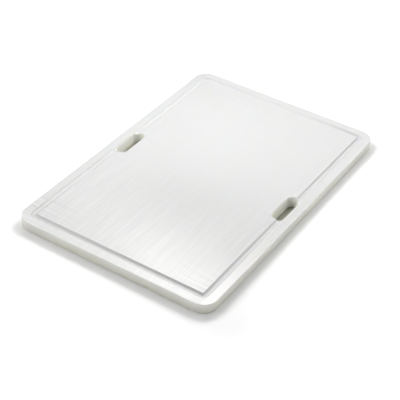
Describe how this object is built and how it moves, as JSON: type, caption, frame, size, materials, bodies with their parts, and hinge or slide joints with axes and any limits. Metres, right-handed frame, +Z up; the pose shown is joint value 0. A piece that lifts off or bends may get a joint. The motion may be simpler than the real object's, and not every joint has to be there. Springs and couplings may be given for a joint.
{
  "type": "cutting board",
  "caption": "Rectangular white plastic cutting board with rounded corners, a juice groove round the rim and a hand slot through each long side.",
  "frame": {"origin": "centre of the flat underside, where the board rests", "axes": "+X along the long side, +Y along the short side, +Z up out of the cutting face"},
  "size_m": [0.6, 0.4, 0.02],
  "materials": {
    "polyethylene": "satin, planed"
  },
  "bodies": {
    "root": {"board": "polyethylene"}
  },
  "joints": []
}
